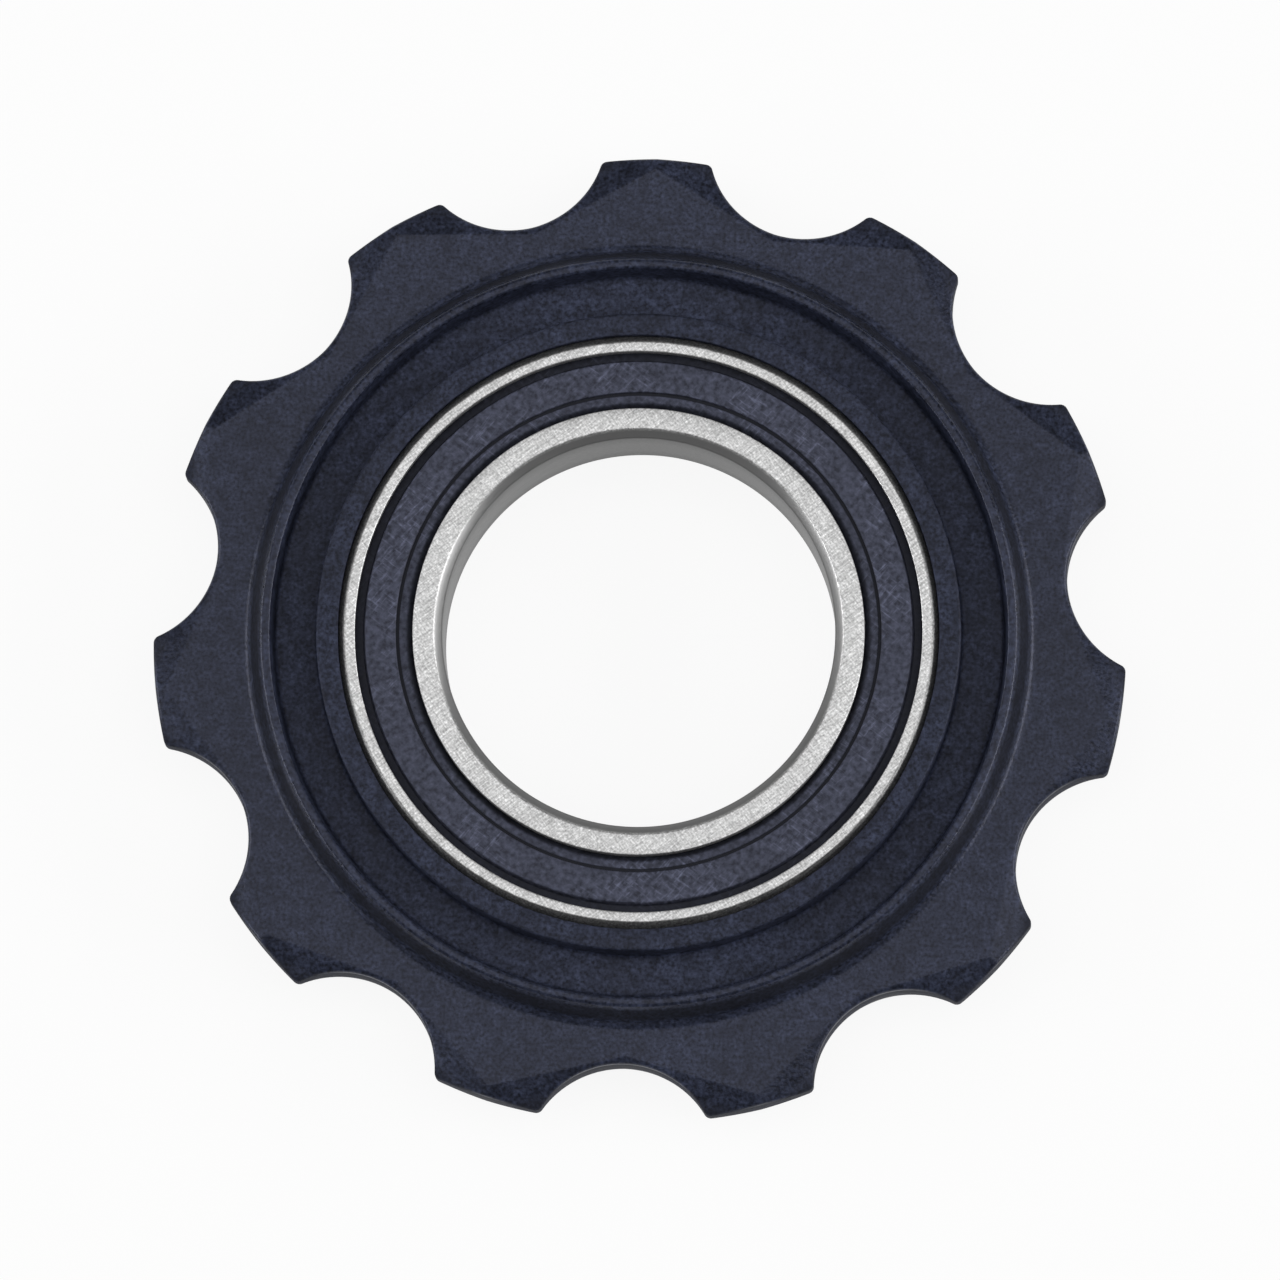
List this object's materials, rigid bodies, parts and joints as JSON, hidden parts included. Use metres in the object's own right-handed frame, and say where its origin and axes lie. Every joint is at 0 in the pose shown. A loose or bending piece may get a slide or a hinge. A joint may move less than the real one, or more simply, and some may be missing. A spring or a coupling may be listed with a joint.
{
  "type": "derailleur jockey wheel",
  "caption": "Small moulded toothed wheel with a pressed-in sealed ball bearing, which guides and tensions the chain in a bicycle's rear derailleur.",
  "frame": {"origin": "centre of the wheel: on the bore axis, midway between the bearing's two faces", "axes": "+Z along the bore axis, out of the front face; +Y through the middle of one tooth"},
  "size_m": [0.0422, 0.0419, 0.005],
  "materials": {
    "wheel_plastic": "matte moulded, fine grain",
    "ring_steel": "ground",
    "ball_steel": "polished",
    "seal_rubber": "satin moulded",
    "cage_plastic": "natural, moulded"
  },
  "bodies": {
    "hub": {"inner_ring": "ring_steel"},
    "wheel": {"toothed_wheel": "wheel_plastic", "outer_ring": "ring_steel", "front_seal": "seal_rubber", "rear_seal": "seal_rubber"},
    "cage": {"ball_cage": "cage_plastic"},
    "ball_01": {"ball_01": "ball_steel"},
    "ball_02": {"ball_02": "ball_steel"},
    "ball_03": {"ball_03": "ball_steel"},
    "ball_04": {"ball_04": "ball_steel"},
    "ball_05": {"ball_05": "ball_steel"},
    "ball_06": {"ball_06": "ball_steel"},
    "ball_07": {"ball_07": "ball_steel"},
    "ball_08": {"ball_08": "ball_steel"},
    "ball_09": {"ball_09": "ball_steel"},
    "ball_10": {"ball_10": "ball_steel"},
    "ball_11": {"ball_11": "ball_steel"},
    "ball_12": {"ball_12": "ball_steel"},
    "ball_13": {"ball_13": "ball_steel"},
    "ball_14": {"ball_14": "ball_steel"}
  },
  "joints": [
    {"name": "wheel_spin", "type": "hinge", "parent": "hub", "child": "wheel", "pos_m": [0, 0, 0], "axis": [0, 0, 1], "continuous": true},
    {"name": "cage_spin", "type": "hinge", "parent": "hub", "child": "cage", "pos_m": [0, 0, 0], "axis": [0, 0, 1], "continuous": true},
    {"name": "ball_01_roll", "type": "hinge", "parent": "cage", "child": "ball_01", "pos_m": [0, 0.01075, 0], "axis": [0, 0, 1], "continuous": true},
    {"name": "ball_02_roll", "type": "hinge", "parent": "cage", "child": "ball_02", "pos_m": [-0.00466, 0.00969, 0], "axis": [0, 0, 1], "continuous": true},
    {"name": "ball_03_roll", "type": "hinge", "parent": "cage", "child": "ball_03", "pos_m": [-0.0084, 0.0067, 0], "axis": [0, 0, 1], "continuous": true},
    {"name": "ball_04_roll", "type": "hinge", "parent": "cage", "child": "ball_04", "pos_m": [-0.01048, 0.00239, 0], "axis": [0, 0, 1], "continuous": true},
    {"name": "ball_05_roll", "type": "hinge", "parent": "cage", "child": "ball_05", "pos_m": [-0.01048, -0.00239, 0], "axis": [0, 0, 1], "continuous": true},
    {"name": "ball_06_roll", "type": "hinge", "parent": "cage", "child": "ball_06", "pos_m": [-0.0084, -0.0067, 0], "axis": [0, 0, 1], "continuous": true},
    {"name": "ball_07_roll", "type": "hinge", "parent": "cage", "child": "ball_07", "pos_m": [-0.00466, -0.00969, 0], "axis": [0, 0, 1], "continuous": true},
    {"name": "ball_08_roll", "type": "hinge", "parent": "cage", "child": "ball_08", "pos_m": [0, -0.01075, 0], "axis": [0, 0, 1], "continuous": true},
    {"name": "ball_09_roll", "type": "hinge", "parent": "cage", "child": "ball_09", "pos_m": [0.00466, -0.00969, 0], "axis": [0, 0, 1], "continuous": true},
    {"name": "ball_10_roll", "type": "hinge", "parent": "cage", "child": "ball_10", "pos_m": [0.0084, -0.0067, 0], "axis": [0, 0, 1], "continuous": true},
    {"name": "ball_11_roll", "type": "hinge", "parent": "cage", "child": "ball_11", "pos_m": [0.01048, -0.00239, 0], "axis": [0, 0, 1], "continuous": true},
    {"name": "ball_12_roll", "type": "hinge", "parent": "cage", "child": "ball_12", "pos_m": [0.01048, 0.00239, 0], "axis": [0, 0, 1], "continuous": true},
    {"name": "ball_13_roll", "type": "hinge", "parent": "cage", "child": "ball_13", "pos_m": [0.0084, 0.0067, 0], "axis": [0, 0, 1], "continuous": true},
    {"name": "ball_14_roll", "type": "hinge", "parent": "cage", "child": "ball_14", "pos_m": [0.00466, 0.00969, 0], "axis": [0, 0, 1], "continuous": true}
  ],
  "couplings": [
    {"joint": "cage_spin", "follows": "wheel_spin", "ratio": 0.56461},
    {"joint": "ball_01_roll", "follows": "wheel_spin", "ratio": 3.8048},
    {"joint": "ball_02_roll", "follows": "wheel_spin", "ratio": 3.8048},
    {"joint": "ball_03_roll", "follows": "wheel_spin", "ratio": 3.8048},
    {"joint": "ball_04_roll", "follows": "wheel_spin", "ratio": 3.8048},
    {"joint": "ball_05_roll", "follows": "wheel_spin", "ratio": 3.8048},
    {"joint": "ball_06_roll", "follows": "wheel_spin", "ratio": 3.8048},
    {"joint": "ball_07_roll", "follows": "wheel_spin", "ratio": 3.8048},
    {"joint": "ball_08_roll", "follows": "wheel_spin", "ratio": 3.8048},
    {"joint": "ball_09_roll", "follows": "wheel_spin", "ratio": 3.8048},
    {"joint": "ball_10_roll", "follows": "wheel_spin", "ratio": 3.8048},
    {"joint": "ball_11_roll", "follows": "wheel_spin", "ratio": 3.8048},
    {"joint": "ball_12_roll", "follows": "wheel_spin", "ratio": 3.8048},
    {"joint": "ball_13_roll", "follows": "wheel_spin", "ratio": 3.8048},
    {"joint": "ball_14_roll", "follows": "wheel_spin", "ratio": 3.8048}
  ]
}
